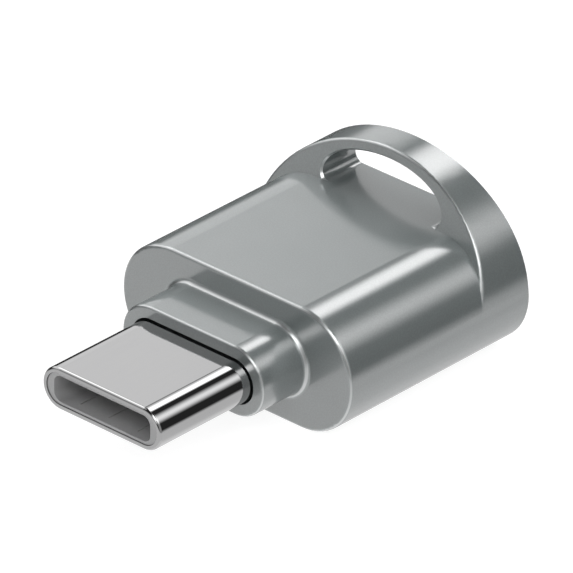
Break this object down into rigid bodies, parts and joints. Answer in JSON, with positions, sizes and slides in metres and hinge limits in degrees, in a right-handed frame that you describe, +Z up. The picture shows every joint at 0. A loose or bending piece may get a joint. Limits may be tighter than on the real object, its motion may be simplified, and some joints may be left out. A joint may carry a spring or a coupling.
{
  "type": "usb memory card reader",
  "caption": "Pocket memory card reader with a reversible plug, a rounded metal body, a raised lanyard loop and a card slot in the rear face.",
  "frame": {"origin": "on the flat underside, below the middle of the whole length", "axes": "+Y runs from the plug's tip to the rear face with the card slot, +Z is up towards the loop, +X completes a right-handed frame"},
  "size_m": [0.016, 0.0234, 0.0099],
  "materials": {
    "cast_metal": "satin nickel over a zinc casting",
    "plug_chrome": "polished",
    "plug_plastic": "fine matt moulding",
    "black_plastic": "matt moulding",
    "bezel_plastic": "fine matt moulding",
    "contact_gold": "thin gold plating",
    "spring_steel": "rolled sheet",
    "tinned_metal": "dull tin",
    "board_laminate": "lacquered",
    "capacitor_ceramic": "fired ceramic",
    "resistor_ceramic": "fired ceramic"
  },
  "bodies": {
    "root": {"housing": "cast_metal", "plug_shell": "plug_chrome", "plug_insulator": "plug_plastic", "plug_wafer_upper": "black_plastic", "plug_wafer_lower": "black_plastic", "plug_contacts_upper": "contact_gold", "plug_contacts_lower": "contact_gold", "plug_latch_plate": "spring_steel", "plug_ground_spring_upper": "spring_steel", "plug_ground_spring_lower": "spring_steel", "circuit_board": "board_laminate", "controller_chip": "black_plastic", "controller_leads": "tinned_metal", "capacitors": "capacitor_ceramic", "resistors": "resistor_ceramic", "card_socket_base": "black_plastic", "card_socket_cover": "spring_steel", "card_socket_contacts": "contact_gold", "card_detect_contact": "contact_gold", "rear_bezel": "bezel_plastic"}
  },
  "joints": []
}
